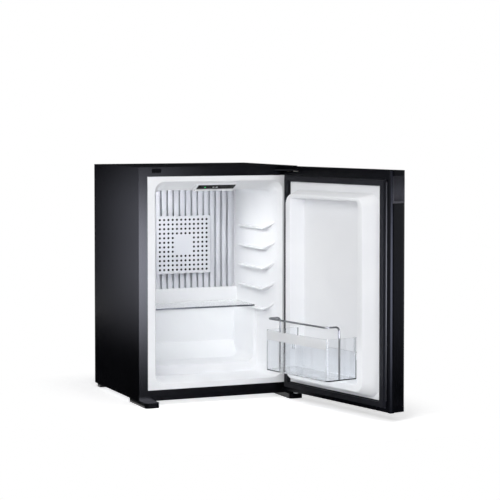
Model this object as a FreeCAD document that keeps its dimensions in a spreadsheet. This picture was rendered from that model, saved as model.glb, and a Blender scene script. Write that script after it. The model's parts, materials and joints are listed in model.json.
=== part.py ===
import FreeCAD, Part
import math
import os
import re
import Sketcher
from FreeCAD import Placement, Rotation, Vector

# Hotel minibar fridge, in millimetres: +Z up, front towards -Y, origin on the floor under the cabinet.
# The door stands open about its right-hand pins. Heights named level are above the cabinet's underside,
# and depths named depth are behind the cabinet's front plane.

SIZES = {
    # cabinet shell
    "cabinet_width": 402, "cabinet_height": 543, "cabinet_depth": 329, "foot_height": 10,
    "steel_gauge": 1, "rear_recess": 30, "seat_gap": 0.2, "pin_play": 0.05,
    # front frame of four mitred strips
    "stile_width": 21.5, "head_width": 22, "threshold_width": 25, "strip_face": 3, "strip_leg": 10,
    "plug_inset": 32.4, "plug_width": 22.3, "plug_height": 10, "plug_drop": 3.4, "plug_proud": 0.8,
    # moulded liner
    "liner_wall": 2, "mouth_side": 17.5, "mouth_head": 12, "mouth_threshold": 13, "mouth_radius": 25,
    "mouth_lip": 2, "tongue_width": 8, "flare_depth": 16, "flare_side": 8, "ceiling_depth": 43,
    "ceiling_drop": 22, "wall_draft": 5, "ceiling_radius": 22, "rear_radius": 10, "rear_foam": 36,
    "step_depth": 130, "step_rise": 22, "step_side": 8, "step_radius": 20,
    "ramp_rear_gap": 4, "ramp_run": 34, "ramp_rise": 38, "ledge_reach": 12, "ledge_level": 234,
    "rail_level": 195.5, "rail_top_gap": 95.5, "rail_count": 5, "rail_height": 4, "rail_reach": 10,
    "rail_rear_gap": 44, "rail_bend": 70, "rail_tip": 28.5, "rail_rise": 20, "rail_round": 1.5,
    "rail_tip_reach": 1.5, "rail_tip_height": 8,
    # glass shelf
    "shelf_thickness": 4, "shelf_rear_gap": 14, "shelf_side_gap": 1, "shelf_radius": 3,
    # cold plate and its cover
    "plate_thickness": 3, "plate_side_gap": 4, "plate_top_gap": 2, "plate_radius": 12,
    "fin_pitch": 16.1, "fin_width": 9.1, "fin_reach": 11,
    "cover_top_gap": 72, "cover_low_gap": 38, "cover_thickness": 1.5, "cover_standoff": 8.5,
    "cover_radius": 3, "hole_pitch": 11.25, "hole_radius": 2.4, "hole_edge": 9, "hole_rows": 4,
    "peg_radius": 3, "peg_inset": 9,
    # controls and light on the slope of the ceiling
    "control_width": 108, "control_run": 32, "control_start": 13, "control_thickness": 3,
    "strip_width": 93.5, "strip_run": 18.7, "strip_start": 15.3, "strip_thickness": 1,
    "lamp_inset": 28, "lamp_radius": 1.5, "lamp_proud": 0.3,
    "key_width": 4.6, "key_run": 3, "key_first": -6.6, "key_pitch": 7.9, "key_proud": 0.5,
    "key_height": 2.3, "key_gap": 0.25, "key_well": 1.9,
    "lens_width": 100, "lens_run": 7.5, "lens_start": 36, "lens_height": 2.5,
    # feet and hinges
    "foot_width": 35, "foot_inset": 2, "foot_front": 40, "foot_back": 73, "foot_ledge": 2, "foot_radius": 9,
    "rear_foot_size": 20, "rear_foot_inset": 5,
    "pin_inset": 18.6, "pin_depth": 25.7, "pin_radius": 3, "collar_radius": 6, "pin_sink": 8,
    "bush_wall": 2, "bush_flange_radius": 7, "bush_flange": 1.8,
    "bracket_gauge": 3, "leaf_width": 44, "leaf_height": 18, "leaf_drop": 20, "arm_drop": 11,
    "arm_radius": 9, "arm_turn": 37, "screw_radius": 2, "screw_head_radius": 3.8, "screw_head": 1.8,
    "screw_pitch": 28, "screw_drop": 16,
    # door, drawn shut and then swung open
    "open_angle": 101.5, "door_gap": 8, "door_thickness": 44, "door_clearance": 10, "door_top_gap": 1,
    "door_radius": 9, "top_cap": 12, "bottom_cap": 14, "cap_lid": 5, "cap_skirt": 3, "cap_pocket": 62,
    "spigot_width": 30, "spigot_depth": 16, "deck_gauge": 1, "inner_frame": 6, "nub_size": 10,
    "nub_height": 3,
    "grip_height": 56, "grip_reach": 14, "grip_block": 20, "grip_rim": 2,
    "door_liner_side": 31.5, "door_liner_low": 34, "door_liner_drop": 36, "door_liner_wall": 2,
    "dyke_base": 8.5, "dyke_slope": 17.5, "dyke_crest": 18, "dyke_inner": 10, "dyke_height": 34,
    "dyke_radius": 25, "dyke_round": 3.5, "dyke_low_base": 4.5, "dyke_low_slope": 11, "dyke_low_crest": 15.5,
    "dyke_top_base": 18, "dyke_top_slope": 9, "dyke_top_crest": 8, "dyke_top_inner": 3, "well_radius": 7,
    "gasket_width": 17.5, "gasket_head": 15, "gasket_base": 2.5, "gasket_lip": 2, "gasket_clear": 0.5,
    # door rack
    "rack_side_gap": 10, "rack_back": 24, "rack_front": 109, "rack_level": 77, "rack_height": 93,
    "rack_wall": 2.5, "rack_back_height": 60, "rack_radius": 5,
    "rail_radius": 2.25, "rail_crown": 119, "guard_return": 35, "guard_bend": 10,
    "lug_level": 43, "lug_height": 12, "lug_length": 14, "lug_gap": 0.3, "hook_width": 6, "hook_height": 4,
    # absorption unit at the back
    "unit_offset": 42, "tube_radius": 7, "tube_bend": 14,
    "boiler_width": 64, "boiler_side": 47, "boiler_level": 100, "riser_height": 82, "boiler_radius": 10,
    "bracket_depth": 8, "bracket_width": 84, "bracket_height": 30, "bracket_sheet": 2,
    "vessel_radius": 26, "vessel_gap": 50, "vessel_inset": 51, "vessel_level": 62, "vessel_round": 14,
    "coil_runs": 4, "coil_pitch": 32, "coil_gap": 55, "coil_inset": 66,
    "condenser_drop": 61, "condenser_end": 61, "fin_size": 46, "fin_gauge": 1, "fin_count": 14,
    "condenser_pitch": 11,
    "box_width": 98, "box_depth": 50, "box_height": 64, "box_inset": 44, "box_level": 18, "box_round": 4,
    "inlet_width": 24.4, "inlet_height": 16.8, "inlet_depth": 16, "inlet_flange": 5, "inlet_plate": 2.5,
    "blade_length": 11, "blade_width": 2, "blade_height": 4, "blade_pitch": 7,
    "tray_width": 90, "tray_depth": 40, "tray_height": 25, "tray_inset": 51, "tray_level": 262,
    "tray_wall": 2,
    "spout_radius": 5, "spout_level": 304, "spout_reach": 20, "spout_drop": 14,
    "evaporator_width": 100, "evaporator_height": 120, "evaporator_level": 300,
}

# Values that the sizes above settle, each with the clearance it keeps.
FITS = {
    "cavity_depth": "cabinet_depth - rear_recess - steel_gauge - rear_foam",
    "ramp_depth": "cavity_depth - ramp_rear_gap - ramp_run",
    "ledge_depth": "cavity_depth - ledge_reach",
    "shelf_depth": "cavity_depth - shelf_rear_gap - step_depth",
    "ceiling_level": "cabinet_height - head_width - mouth_head - ceiling_drop",
    "rail_pitch": "(ceiling_level - rail_top_gap - rail_level) / (rail_count - 1)",
    "rail_rear": "cavity_depth - rail_rear_gap",
    "liner_rear": "cabinet_width / 2 - stile_width - mouth_side - flare_side - wall_draft - 1",
    "plate_fins": "floor(2 * (liner_rear - plate_side_gap) / fin_pitch)",
    "cover_size": "ceiling_level - cover_top_gap - ledge_level - cover_low_gap",
    "cover_level": "ledge_level + cover_low_gap + cover_size / 2",
    "holes_across": "floor((cover_size - 2 * hole_edge) / hole_pitch) + 1",
    "bare_across": "holes_across - 2 * hole_rows",
    "middle_fin": "(plate_fins - 1) / 2 - floor((plate_fins - 1) / 2)",
    "peg_fin": "floor((cover_size / 2 - peg_inset) / fin_pitch - middle_fin) + middle_fin",
    "leaf_level": "cabinet_height - leaf_drop",
    "arm_level": "cabinet_height - arm_drop",
    "screw_level": "cabinet_height - screw_drop",
    "door_liner_high": "cabinet_height - door_liner_drop",
    "rim_width": "dyke_base + dyke_slope + dyke_crest",
    "rack_width": "cabinet_width - 2 * (door_liner_side + rim_width + rack_side_gap)",
    "condenser_level": "cabinet_height - condenser_drop",
    "boiler_height": "condenser_level - riser_height - boiler_level",
    "unit_width": "cabinet_width - boiler_side - boiler_width",
    "vessel_length": "unit_width - vessel_inset - vessel_gap",
    "coil_length": "unit_width - coil_inset - coil_gap",
}

doc = FreeCAD.newDocument("minibar_fridge")
sheet = doc.addObject("Spreadsheet::Sheet", "sizes")
values = {**SIZES, **{alias: f"={formula}" for alias, formula in FITS.items()}}
for row, (alias, value) in enumerate(values.items(), start=1):
    sheet.set(f"A{row}", alias)
    sheet.set(f"B{row}", str(value))
    sheet.setAlias(f"B{row}", alias)
doc.recompute()

nodes = []


# Expressions name the sheet's aliases bare, and are linked to the sheet here.
def linked(expression):
    return re.sub(r"[a-z_]+", lambda word: f"sizes.{word[0]}" if word[0] in values else word[0],
                  str(expression))


def bind(obj, prop, expression):
    obj.setExpression(prop, linked(expression))


def number(expression):
    return float(sheet.evalExpression(str(expression)))


def node(obj, label):
    obj.Label = label
    nodes.append(obj)
    return obj


def move(obj, corner, rotation=None):
    if rotation:
        obj.Placement = Placement(Vector(), rotation)
    for letter, expression in zip("xyz", corner):
        bind(obj, f"Placement.Base.{letter}", expression)
    return obj


def box(name, corner, size):
    obj = doc.addObject("Part::Box", name)
    for prop, expression in zip(("Length", "Width", "Height"), size):
        bind(obj, prop, expression)
    return move(obj, corner)


# A box given by its two end expressions along each axis.
def block(name, *spans):
    return box(name, [low for low, high in spans], [f"({high}) - ({low})" for low, high in spans])


TURNS = {
    "X": Rotation(Vector(0, 1, 0), 90),
    "Y": Rotation(Vector(1, 0, 0), -90),
    "Z": Rotation(),
}


def cylinder(name, start, radius, length, along="Z"):
    obj = doc.addObject("Part::Cylinder", name)
    bind(obj, "Radius", radius)
    bind(obj, "Height", length)
    return move(obj, start, TURNS[along])


def fuse(name, *shapes):
    obj = doc.addObject("Part::MultiFuse", name)
    obj.Shapes = list(shapes)
    obj.Refine = True
    return obj


def cut(name, base, *tools):
    for count, tool in enumerate(tools, start=1):
        obj = doc.addObject("Part::Cut", name if count == len(tools) else f"{name}_{count}")
        obj.Base, obj.Tool = base, tool
        obj.Refine = True
        base = obj
    return base


def common(name, base, tool):
    obj = doc.addObject("Part::Common", name)
    obj.Base, obj.Tool = base, tool
    return obj


def group(name, *shapes):
    obj = doc.addObject("Part::Compound", name)
    obj.Links = list(shapes)
    return obj


# Rounds the edges of base that pick accepts.
def fillet(name, base, radius, pick):
    doc.recompute()
    size = number(radius)
    obj = doc.addObject("Part::Fillet", name)
    obj.Base = base
    obj.Edges = [(i, size, size) for i, edge in enumerate(base.Shape.Edges, start=1) if pick(edge)]
    return obj


# Tests for straight edges along an axis and for edges that lie at one coordinate.
def along(axis):
    def test(edge):
        return edge.Curve.TypeId == "Part::GeomLine" and abs(abs(edge.Curve.Direction.dot(axis)) - 1) < 1e-6
    return test


def at(letter, expression):
    place = number(expression)
    return lambda edge: all(abs(getattr(v.Point, letter) - place) < 1e-4 for v in edge.Vertexes)


def all_of(*tests):
    return lambda edge: all(test(edge) for test in tests)


X, Y, Z = Vector(1, 0, 0), Vector(0, 1, 0), Vector(0, 0, 1)
PLANES = {
    "XY": (Rotation(), "z"),
    "XZ": (Rotation(X, 90), "y"),
    "YZ": (Rotation(Vector(1, 1, 1), 120), "x"),
}


def sketch_on(name, plane, offset):
    sketch = doc.addObject("Sketcher::SketchObject", name)
    rotation, letter = PLANES[plane]
    sketch.Placement = Placement(Vector(), rotation)
    bind(sketch, f"Placement.Base.{letter}", offset)
    return sketch


def pin_point(sketch, geometry, end, across, up):
    for kind, expression in (("DistanceX", across), ("DistanceY", up)):
        if expression is not None:
            index = sketch.addConstraint(Sketcher.Constraint(kind, -1, 1, geometry, end, number(expression)))
            bind(sketch, f"Constraints[{index}]", expression)


# A closed outline of straight sides through the given points.
def polygon(name, plane, offset, points):
    sketch = sketch_on(name, plane, offset)
    corners = [Vector(number(a), number(b), 0) for a, b in points]
    sides = [Part.LineSegment(corners[i], corners[(i + 1) % len(corners)]) for i in range(len(corners))]
    sketch.addGeometry(sides, False)
    for i in range(len(corners)):
        sketch.addConstraint(Sketcher.Constraint("Coincident", i, 2, (i + 1) % len(corners), 1))
    for i, (across, up) in enumerate(points):
        pin_point(sketch, i, 1, across, up)
    return sketch


# A rectangle with rounded corners: four sides, four quarter arcs and one radius.
def rounded(name, plane, offset, left, right, low, high, radius):
    sketch = sketch_on(name, plane, offset)
    x0, x1, y0, y1, r = (number(e) for e in (left, right, low, high, radius))
    sides = [((x0 + r, y0), (x1 - r, y0)), ((x1, y0 + r), (x1, y1 - r)),
             ((x1 - r, y1), (x0 + r, y1)), ((x0, y1 - r), (x0, y0 + r))]
    centres = [(x1 - r, y0 + r), (x1 - r, y1 - r), (x0 + r, y1 - r), (x0 + r, y0 + r)]
    starts = [-90, 0, 90, 180]
    for side, centre, start in zip(sides, centres, starts):
        sketch.addGeometry(Part.LineSegment(*(Vector(*point, 0) for point in side)), False)
        circle = Part.Circle(Vector(*centre, 0), Z, r)
        sketch.addGeometry(Part.ArcOfCircle(circle, math.radians(start), math.radians(start + 90)), False)
    for i in range(8):
        sketch.addConstraint(Sketcher.Constraint("Tangent", i, 2, (i + 1) % 8, 1))
    for side, kind in ((0, "Horizontal"), (2, "Vertical"), (4, "Horizontal"), (6, "Vertical")):
        sketch.addConstraint(Sketcher.Constraint(kind, side))
    for arc in (3, 5, 7):
        sketch.addConstraint(Sketcher.Constraint("Equal", 1, arc))
    index = sketch.addConstraint(Sketcher.Constraint("Radius", 1, r))
    bind(sketch, f"Constraints[{index}]", radius)
    pin_point(sketch, 0, 1, None, low)
    pin_point(sketch, 2, 1, right, None)
    pin_point(sketch, 4, 1, None, high)
    pin_point(sketch, 6, 1, left, None)
    return sketch


def extrude(name, sketch, direction, length):
    obj = doc.addObject("Part::Extrusion", name)
    obj.Base = sketch
    obj.DirMode = "Custom"
    obj.Dir = direction
    obj.Solid = True
    bind(obj, "LengthFwd", length)
    return obj


def loft(name, *sections):
    obj = doc.addObject("Part::Loft", name)
    obj.Sections = list(sections)
    obj.Solid = True
    obj.Ruled = True
    return obj


# A round tube along straight runs joined by tangent arcs.
def tube(name, points, radius, bend):
    corners = [Vector(*(number(e) for e in point)) for point in points]
    size, r = number(radius), number(bend)
    edges, start = [], corners[0]
    for before, corner, after in zip(corners, corners[1:], corners[2:]):
        into, out = (corner - before).normalize(), (after - corner).normalize()
        turn = into.getAngle(out) / 2
        reach = r * math.tan(turn)
        first, last = corner - into * reach, corner + out * reach
        inward = (out - into).normalize()
        secant = r / math.cos(turn)
        middle = corner + inward * (secant - r)
        edges += [Part.LineSegment(start, first).toShape(), Part.Arc(first, middle, last).toShape()]
        start = last
    edges.append(Part.LineSegment(start, corners[-1]).toShape())
    path = Part.Wire(edges)
    section = Part.Wire(Part.Circle(corners[0], corners[1] - corners[0], size).toShape())
    obj = doc.addObject("Part::Feature", name)
    obj.Shape = path.makePipeShell([section], True, False)
    return obj


# Reference planes of the cabinet.
half = "(cabinet_width / 2)"
inside = "(cabinet_width / 2 - steel_gauge)"
front = "(-cabinet_depth / 2)"
back = "(cabinet_depth / 2)"
base = "foot_height"
top = "(foot_height + cabinet_height)"
behind_frame = f"({front} + strip_face + strip_leg)"
rear_out = f"({back} - rear_recess)"
rear_in = f"({rear_out} - steel_gauge)"


def depth(expression):
    return f"({front} + {expression})"


def level(expression):
    return f"({base} + {expression})"


def both(expression):
    return (f"-({expression})", expression)


# Steel shell: an inverted U for the sides and top, a base and a recessed back.
def make_shell():
    profile = polygon("wrapper_profile", "XZ", depth("strip_face"), [
        (f"-{half}", base), (f"-{half}", top), (half, top), (half, base),
        (inside, base), (inside, f"{top} - steel_gauge"), (f"-{inside}", f"{top} - steel_gauge"),
        (f"-{inside}", base)])
    node(extrude("wrapper", profile, Y, "cabinet_depth - strip_face"), "cabinet_wrapper")
    node(block("base_sheet", both(inside), (behind_frame, back), (base, level("steel_gauge"))), "base_panel")
    node(block("rear_sheet", both(inside), (rear_in, rear_out),
               (level("steel_gauge"), f"{top} - steel_gauge")), "rear_panel")


# One mitred strip: a trapezoid face and a leg tucked inside the shell.
def mitred_strip(name, length, width, start_cut, end_cut, origin, rotation):
    face = doc.addObject("Part::Wedge", f"{name}_face")
    for prop, expression in (("Xmin", 0), ("Xmax", length), ("Ymin", 0), ("Ymax", width), ("Zmin", 0),
                             ("Zmax", "strip_face"), ("X2min", start_cut), ("X2max", f"{length} - {end_cut}"),
                             ("Z2min", 0), ("Z2max", "strip_face")):
        bind(face, prop, expression)
    leg = box(f"{name}_leg", (f"{start_cut} + seat_gap", "steel_gauge + seat_gap", "strip_face - seat_gap"),
              (f"{length} - {start_cut} - {end_cut} - 2 * seat_gap", "liner_wall", "strip_leg + seat_gap"))
    return move(fuse(name, face, leg), origin, rotation)


def make_front_frame():
    head = mitred_strip("head_strip", "cabinet_width", "head_width", "stile_width", "stile_width",
                        (f"-{half}", front, top), Rotation(X, -90))
    threshold = mitred_strip("threshold_strip", "cabinet_width", "threshold_width", "stile_width",
                             "stile_width",
                             (half, front, base), Rotation(Z, 180) * Rotation(X, 90))
    left = mitred_strip("left_strip", "cabinet_height", "stile_width", "threshold_width", "head_width",
                        (f"-{half}", front, base), Rotation(Y, -90) * Rotation(X, -90))
    right = mitred_strip("right_strip", "cabinet_height", "stile_width", "head_width", "threshold_width",
                         (half, front, top), Rotation(Y, 90) * Rotation(X, -90))
    slot = plug_block("plug_slot", "seat_gap")
    screws = [screw_shank(f"head_hole_{side}", side, "pin_play") for side in (0, 1)]
    node(cut("head_strip_cut", head, slot, *screws), "front_frame_top")
    node(threshold, "front_frame_bottom")
    node(left, "front_frame_left")
    node(right, "front_frame_right")
    plug = plug_block("plug_body", "0")
    node(fillet("plug_round", plug, "plug_proud / 2", at("y", depth("-plug_proud"))), "hinge_hole_plug")


# The plug over the hinge slot that a left-hand door would use.
def plug_block(name, gap):
    return block(name, (f"-{half} + plug_inset - {gap}", f"-{half} + plug_inset + plug_width + {gap}"),
                 (depth("-plug_proud"), depth("strip_face")),
                 (f"{top} - plug_drop - plug_height - {gap}", f"{top} - plug_drop + {gap}"))


# Liner hollow, grown outwards by the expression given: flared mouth, sloping ceiling front, drafted walls,
# a stepped rear floor that runs up a ramp, and a ledge under the cold plate.
mouth_half = f"({half} - stile_width - mouth_side)"
mouth_low = level("threshold_width + mouth_threshold")
mouth_high = f"({top} - head_width - mouth_head)"
ceiling = level("ceiling_level")
flare_high = f"({mouth_high} - ceiling_drop * (flare_depth - mouth_lip) / (ceiling_depth - mouth_lip))"
wall_half = f"({mouth_half} - flare_side)"
rear_half = "liner_rear"
step_floor = f"({mouth_low} + step_rise)"
shelf_low = level("rail_level + seat_gap")


def liner_hollow(name, grow, mouth_start):
    def ring(part, place, across, low, high, radius):
        return rounded(f"{name}_{part}", "XZ", place, f"-{across} - {grow}", f"{across} + {grow}",
                       f"{low} - {grow}", f"{high} + {grow}", f"{radius} + {grow}")
    bay = loft(f"{name}_bay",
               ring("mouth", mouth_start, mouth_half, mouth_low, mouth_high, "mouth_radius"),
               ring("lip", depth("mouth_lip"), mouth_half, mouth_low, mouth_high, "mouth_radius"),
               ring("flare", depth("flare_depth"), wall_half, mouth_low, flare_high, "mouth_radius"),
               ring("front", depth("ceiling_depth"), f"({wall_half} - 1)", mouth_low, ceiling,
                    "ceiling_radius"),
               ring("rear", depth(f"cavity_depth + {grow}"), rear_half, mouth_low, ceiling, "rear_radius"))
    far = depth("cavity_depth + 4 * liner_wall")
    low = level("0")
    step = block(f"{name}_step", both(half), (depth(f"step_depth + {grow}"), far),
                 (low, f"{level('rail_level - rail_height')} - {grow}"))
    channel_top = f"({level('rail_level')})"
    channel_side = f"({rear_half} + {grow})"
    channel_foot = f"({rear_half} - step_side + {grow})"
    outline = polygon(f"{name}_channel_outline", "XZ", depth("step_depth - liner_wall"), [
        (f"-{channel_side}", channel_top), (f"-{channel_foot}", f"{step_floor} - {grow}"),
        (channel_foot, f"{step_floor} - {grow}"), (channel_side, channel_top)])
    channel = extrude(f"{name}_channel", outline, Y, "cavity_depth - step_depth + 8 * liner_wall")
    channel = fillet(f"{name}_channel_round", channel, f"step_radius + {grow}",
                     all_of(along(Y), at("z", f"{step_floor} - {grow}")))
    ramp_outline = polygon(f"{name}_ramp_outline", "YZ", f"-{half}", [
        (depth(f"ramp_depth + {grow}"), low), (depth(f"ramp_depth + {grow}"), f"{step_floor} - {grow}"),
        (depth(f"ramp_depth + ramp_run + {grow}"), f"{step_floor} + ramp_rise - {grow}"),
        (far, f"{step_floor} + ramp_rise - {grow}"), (far, low)])
    ramp = extrude(f"{name}_ramp", ramp_outline, X, "cabinet_width")
    ledge = block(f"{name}_ledge", both(half), (depth(f"ledge_depth + {grow}"), far),
                  (f"{level('rail_level - rail_height')} + {grow}", f"{level('ledge_level')} - {grow}"))
    return cut(name, bay, cut(f"{name}_sides", step, channel), ramp, ledge)


# One shelf rail in the side view: a level run that turns up at the front as a stop and dies into the wall.
def rail_bar(name, step, side):
    high = level(f"rail_level + {step} * rail_pitch")
    inner = f"({rear_half} - rail_reach)"
    tip = f"({wall_half} - rail_tip_reach)"
    outline = polygon(f"{name}_outline", "YZ", f"{side} * {inner}", [
        (depth("rail_rear"), high), (depth("rail_rear"), f"{high} - rail_height"),
        (depth("rail_bend"), f"{high} - rail_height"),
        (depth("rail_tip"), f"{high} + rail_rise - rail_tip_height"),
        (depth("rail_tip"), f"{high} + rail_rise"), (depth("rail_bend"), high)])
    bar = extrude(f"{name}_bar", outline, X * side, "rail_reach + wall_draft + flare_side")
    taper = polygon(f"{name}_taper_outline", "XY", base, [
        (f"{side} * {inner}", depth("rail_bend")), (f"{side} * {inner}", front),
        (f"{side} * {tip}", front), (f"{side} * {tip}", depth("rail_tip"))])
    slim = cut(f"{name}_slim", bar, extrude(f"{name}_taper", taper, Z, "cabinet_height"))
    corner, end = (Vector(number(f"{side} * {x}"), number(depth(y)), 0)
                   for x, y in ((inner, "rail_bend"), (tip, "rail_tip")))
    across = (end - corner).cross(Z).normalize()

    def on_taper(edge):
        return all(abs((v.Point - corner).dot(across)) < 1e-4 for v in edge.Vertexes)
    level_edge = at("x", f"{side} * {inner}")
    return fillet(name, slim, "rail_round",
                  lambda edge: (level_edge(edge) or on_taper(edge)) and not along(Z)(edge))


def make_liner():
    skin = liner_hollow("liner_skin", "liner_wall", front)
    hollow = liner_hollow("liner_hollow", "0", depth("-mouth_lip"))
    flange = block("liner_flange", both(f"{half} - stile_width - seat_gap"),
                   (front, depth("strip_face + liner_wall")),
                   (level("threshold_width + seat_gap"), f"{top} - head_width - seat_gap"))
    tongue = block("liner_tongue", both(f"{half} - stile_width + tongue_width"),
                   (depth("strip_face + seat_gap"), depth("strip_face + liner_wall")),
                   (level("threshold_width - tongue_width"), f"{top} - head_width + tongue_width"))
    shell = cut("liner_shell", fuse("liner_blank", flange, tongue, skin), hollow)
    rails = [rail_bar(f"rail_{'left' if side < 0 else 'right'}_{step}", step, side)
             for side in (-1, 1) for step in range(int(number("rail_count")))]
    kept = common("rails_kept", fuse("rails", *rails), skin)
    node(fuse("liner", shell, kept), "inner_liner")


def make_insulation():
    pocket = liner_hollow("foam_pocket", "(liner_wall + seat_gap)", front)
    fill = block("foam_block", both(f"{inside} - seat_gap"),
                 (f"{behind_frame} + seat_gap", f"{rear_in} - seat_gap"),
                 (level("steel_gauge + seat_gap"), f"{top} - steel_gauge - seat_gap"))
    seat = evaporator("evaporator_seat", "seat_gap")
    node(cut("foam", fill, pocket, seat), "cabinet_insulation")
    node(evaporator("evaporator", "0"), "evaporator_block")


# Cold block between the liner's back and the rear panel, where the cooling unit reaches in.
def evaporator(name, gap):
    return block(name, both(f"evaporator_width / 2 + {gap}"),
                 (depth("cavity_depth + liner_wall + seat_gap"), f"{rear_in} - seat_gap + {gap}"),
                 (level(f"evaporator_level - {gap}"), level(f"evaporator_level + evaporator_height + {gap}")))


def make_shelf():
    across = f"({rear_half} - shelf_side_gap)"
    pane = block("shelf_pane", both(across), (depth("step_depth"), depth("step_depth + shelf_depth")),
                 (shelf_low, f"{shelf_low} + shelf_thickness"))
    node(fillet("shelf_round", pane, "shelf_radius", along(Z)), "glass_shelf")


# Cold plate: a flat back with upright fins, standing on the ledge.
def make_cold_plate():
    across = f"({rear_half} - plate_side_gap)"
    low, high = level("ledge_level"), f"({ceiling} - plate_top_gap)"
    plate = block("plate_back", both(across),
                  (depth("cavity_depth - plate_thickness"), depth("cavity_depth")),
                  (low, high))
    count = int(number("plate_fins"))
    fins = []
    for i in range(count):
        middle = f"({i} - {count - 1} / 2) * fin_pitch"
        fins.append(block(f"plate_fin_{i}", (f"{middle} - fin_width / 2", f"{middle} + fin_width / 2"),
                          (depth("cavity_depth - plate_thickness - fin_reach"),
                           depth("cavity_depth - plate_thickness / 2")), (low, high)))
    solid = fuse("plate_solid", plate, *fins)
    bounds = rounded("plate_bounds", "XZ", depth("cavity_depth - 2 * fin_reach"), f"-{across}", across, low,
                     high,
                     "plate_radius")
    prism = extrude("plate_prism", bounds, Y, "3 * fin_reach")
    node(common("cold_plate", solid, prism), "cooling_fin_plate")


# Perforated square cover held off the fins by four pegs. The middle of the field stays bare.
def make_fin_cover():
    face = "(cavity_depth - plate_thickness - fin_reach - cover_standoff)"
    half_size, thick = number("cover_size / 2"), number("cover_thickness")
    centre = number(level("cover_level"))
    y = number(depth(f"{face} - cover_thickness"))
    across, bare = int(number("holes_across")), int(number("bare_across"))
    pitch, radius = number("hole_pitch"), number("hole_radius")
    outline = [Vector(-half_size, y, centre - half_size), Vector(half_size, y, centre - half_size),
               Vector(half_size, y, centre + half_size), Vector(-half_size, y, centre + half_size)]
    wires = [Part.makePolygon(outline + outline[:1])]
    for row in range(across):
        for column in range(across):
            x, z = ((n - (across - 1) / 2) * pitch for n in (column, row))
            if max(abs(x), abs(z)) < bare * pitch / 2:
                continue
            corners = [Rotation(Y, 45 * k + 22.5) * Vector(radius, 0, 0) for k in range(8)]
            rim = [Vector(x, y, centre + z) + corner for corner in corners]
            wires.append(Part.makePolygon(rim + rim[:1]))
    panel = doc.addObject("Part::Feature", "cover_panel")
    panel.Shape = Part.Face(wires).extrude(Vector(0, thick, 0))
    panel = fillet("cover_round", panel, "cover_radius",
                   lambda edge: along(Y)(edge) and abs(abs(edge.Vertexes[0].Point.x) - half_size) < 1e-4)
    reach = "cover_size / 2 - peg_inset"
    pegs = [cylinder(f"cover_peg_{i}", (f"{side} * fin_pitch * peg_fin", depth(face),
                                        level(f"cover_level + {up} * ({reach})")),
                     "peg_radius", "cover_standoff", "Y")
            for i, (side, up) in enumerate(((-1, -1), (1, -1), (-1, 1), (1, 1)))]
    node(fuse("cover", panel, *pegs), "fin_cover")


# Pieces on the ceiling slope are drawn flat, run along +Y and proud along -Z, and then tilted.
slope_run = "(ceiling_depth - mouth_lip)"
slope_angle = f"atan(ceiling_drop / {slope_run})"


def on_slope(obj):
    obj.Placement = Placement(Vector(), Rotation(X, 1))
    bind(obj, "Placement.Base.y", depth("mouth_lip"))
    bind(obj, "Placement.Base.z", mouth_high)
    bind(obj, "Placement.Rotation.Angle", f"-{slope_angle}")
    return obj


def slope_block(name, across, run, proud):
    return block(name, across, run, (f"-({proud[1]})", f"-({proud[0]})"))


key_run_start = "(strip_start + strip_run / 2 - key_run / 2)"
strip_top = "(control_thickness + strip_thickness)"


def key_block(name, order, gap, proud):
    left = f"(key_first + {order} * key_pitch - key_width / 2)"
    return slope_block(name, (f"{left} - {gap}", f"{left} + key_width + {gap}"),
                       (f"{key_run_start} - {gap}", f"{key_run_start} + key_run + {gap}"), proud)


def make_controls():
    run = ("control_start", "control_start + control_run")
    shell = slope_block("control_block", both("control_width / 2"), run, ("seat_gap", "control_thickness"))
    shell = fillet("control_round", shell, "strip_thickness", all_of(at("z", "-control_thickness")))
    seats = [key_block(f"key_well_{i}", i, "2 * key_gap",
                       ("control_thickness - key_well", "control_thickness + 1"))
             for i in (0, 1)]
    lens_seat = slope_block("lens_seat", both("lens_width / 2 + seat_gap"),
                            ("lens_start - seat_gap", "lens_start + lens_run + seat_gap"),
                            ("control_thickness - strip_thickness", "control_thickness + 1"))
    node(on_slope(cut("control_cut", shell, *seats, lens_seat)), "control_housing")
    strip = slope_block("strip_block", both("strip_width / 2"), ("strip_start", "strip_start + strip_run"),
                        ("control_thickness", strip_top))
    windows = [key_block(f"key_window_{i}", i, "key_gap", ("control_thickness - 1", f"{strip_top} + 1"))
               for i in (0, 1)]
    lamp_place = ("-lamp_inset", "strip_start + strip_run / 2", f"-{strip_top} - lamp_proud")
    lamp_hole = cylinder("lamp_hole", lamp_place, "lamp_radius + pin_play", "strip_thickness + lamp_proud")
    node(on_slope(cut("strip_cut", strip, *windows, lamp_hole)), "control_strip")
    lamp = cylinder("lamp_body", lamp_place, "lamp_radius", "strip_thickness + lamp_proud")
    node(on_slope(group("lamp", lamp)), "status_led")
    for i, label in enumerate(("key_left", "key_right")):
        key = key_block(f"key_body_{i}", i, "0",
                        (f"{strip_top} + key_proud - key_height", f"{strip_top} + key_proud"))
        node(on_slope(fillet(f"key_round_{i}", key, "key_proud / 2", at("z", f"-{strip_top} - key_proud"))),
             label)
    lens = slope_block("lens_block", both("lens_width / 2"), ("lens_start", "lens_start + lens_run"),
                       ("control_thickness - strip_thickness", "control_thickness + lens_height"))
    node(on_slope(fillet("lens_round", lens, "lens_height / 2", at("z", "-control_thickness - lens_height"))),
         "light_lens")


# Hinge pins stand near the right side, in front of the cabinet.
pin_x = f"({half} - pin_inset)"
door_inner = f"({front} - door_gap)"
door_outer = f"({door_inner} - door_thickness)"
pin_y = f"({door_inner} - pin_depth)"
door_low = level("door_clearance")
door_high = f"({top} - door_top_gap)"
foot_top = level("foot_ledge")
cap_low = f"({door_high} - top_cap)"
pin_top = level("arm_level + bracket_gauge")


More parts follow.
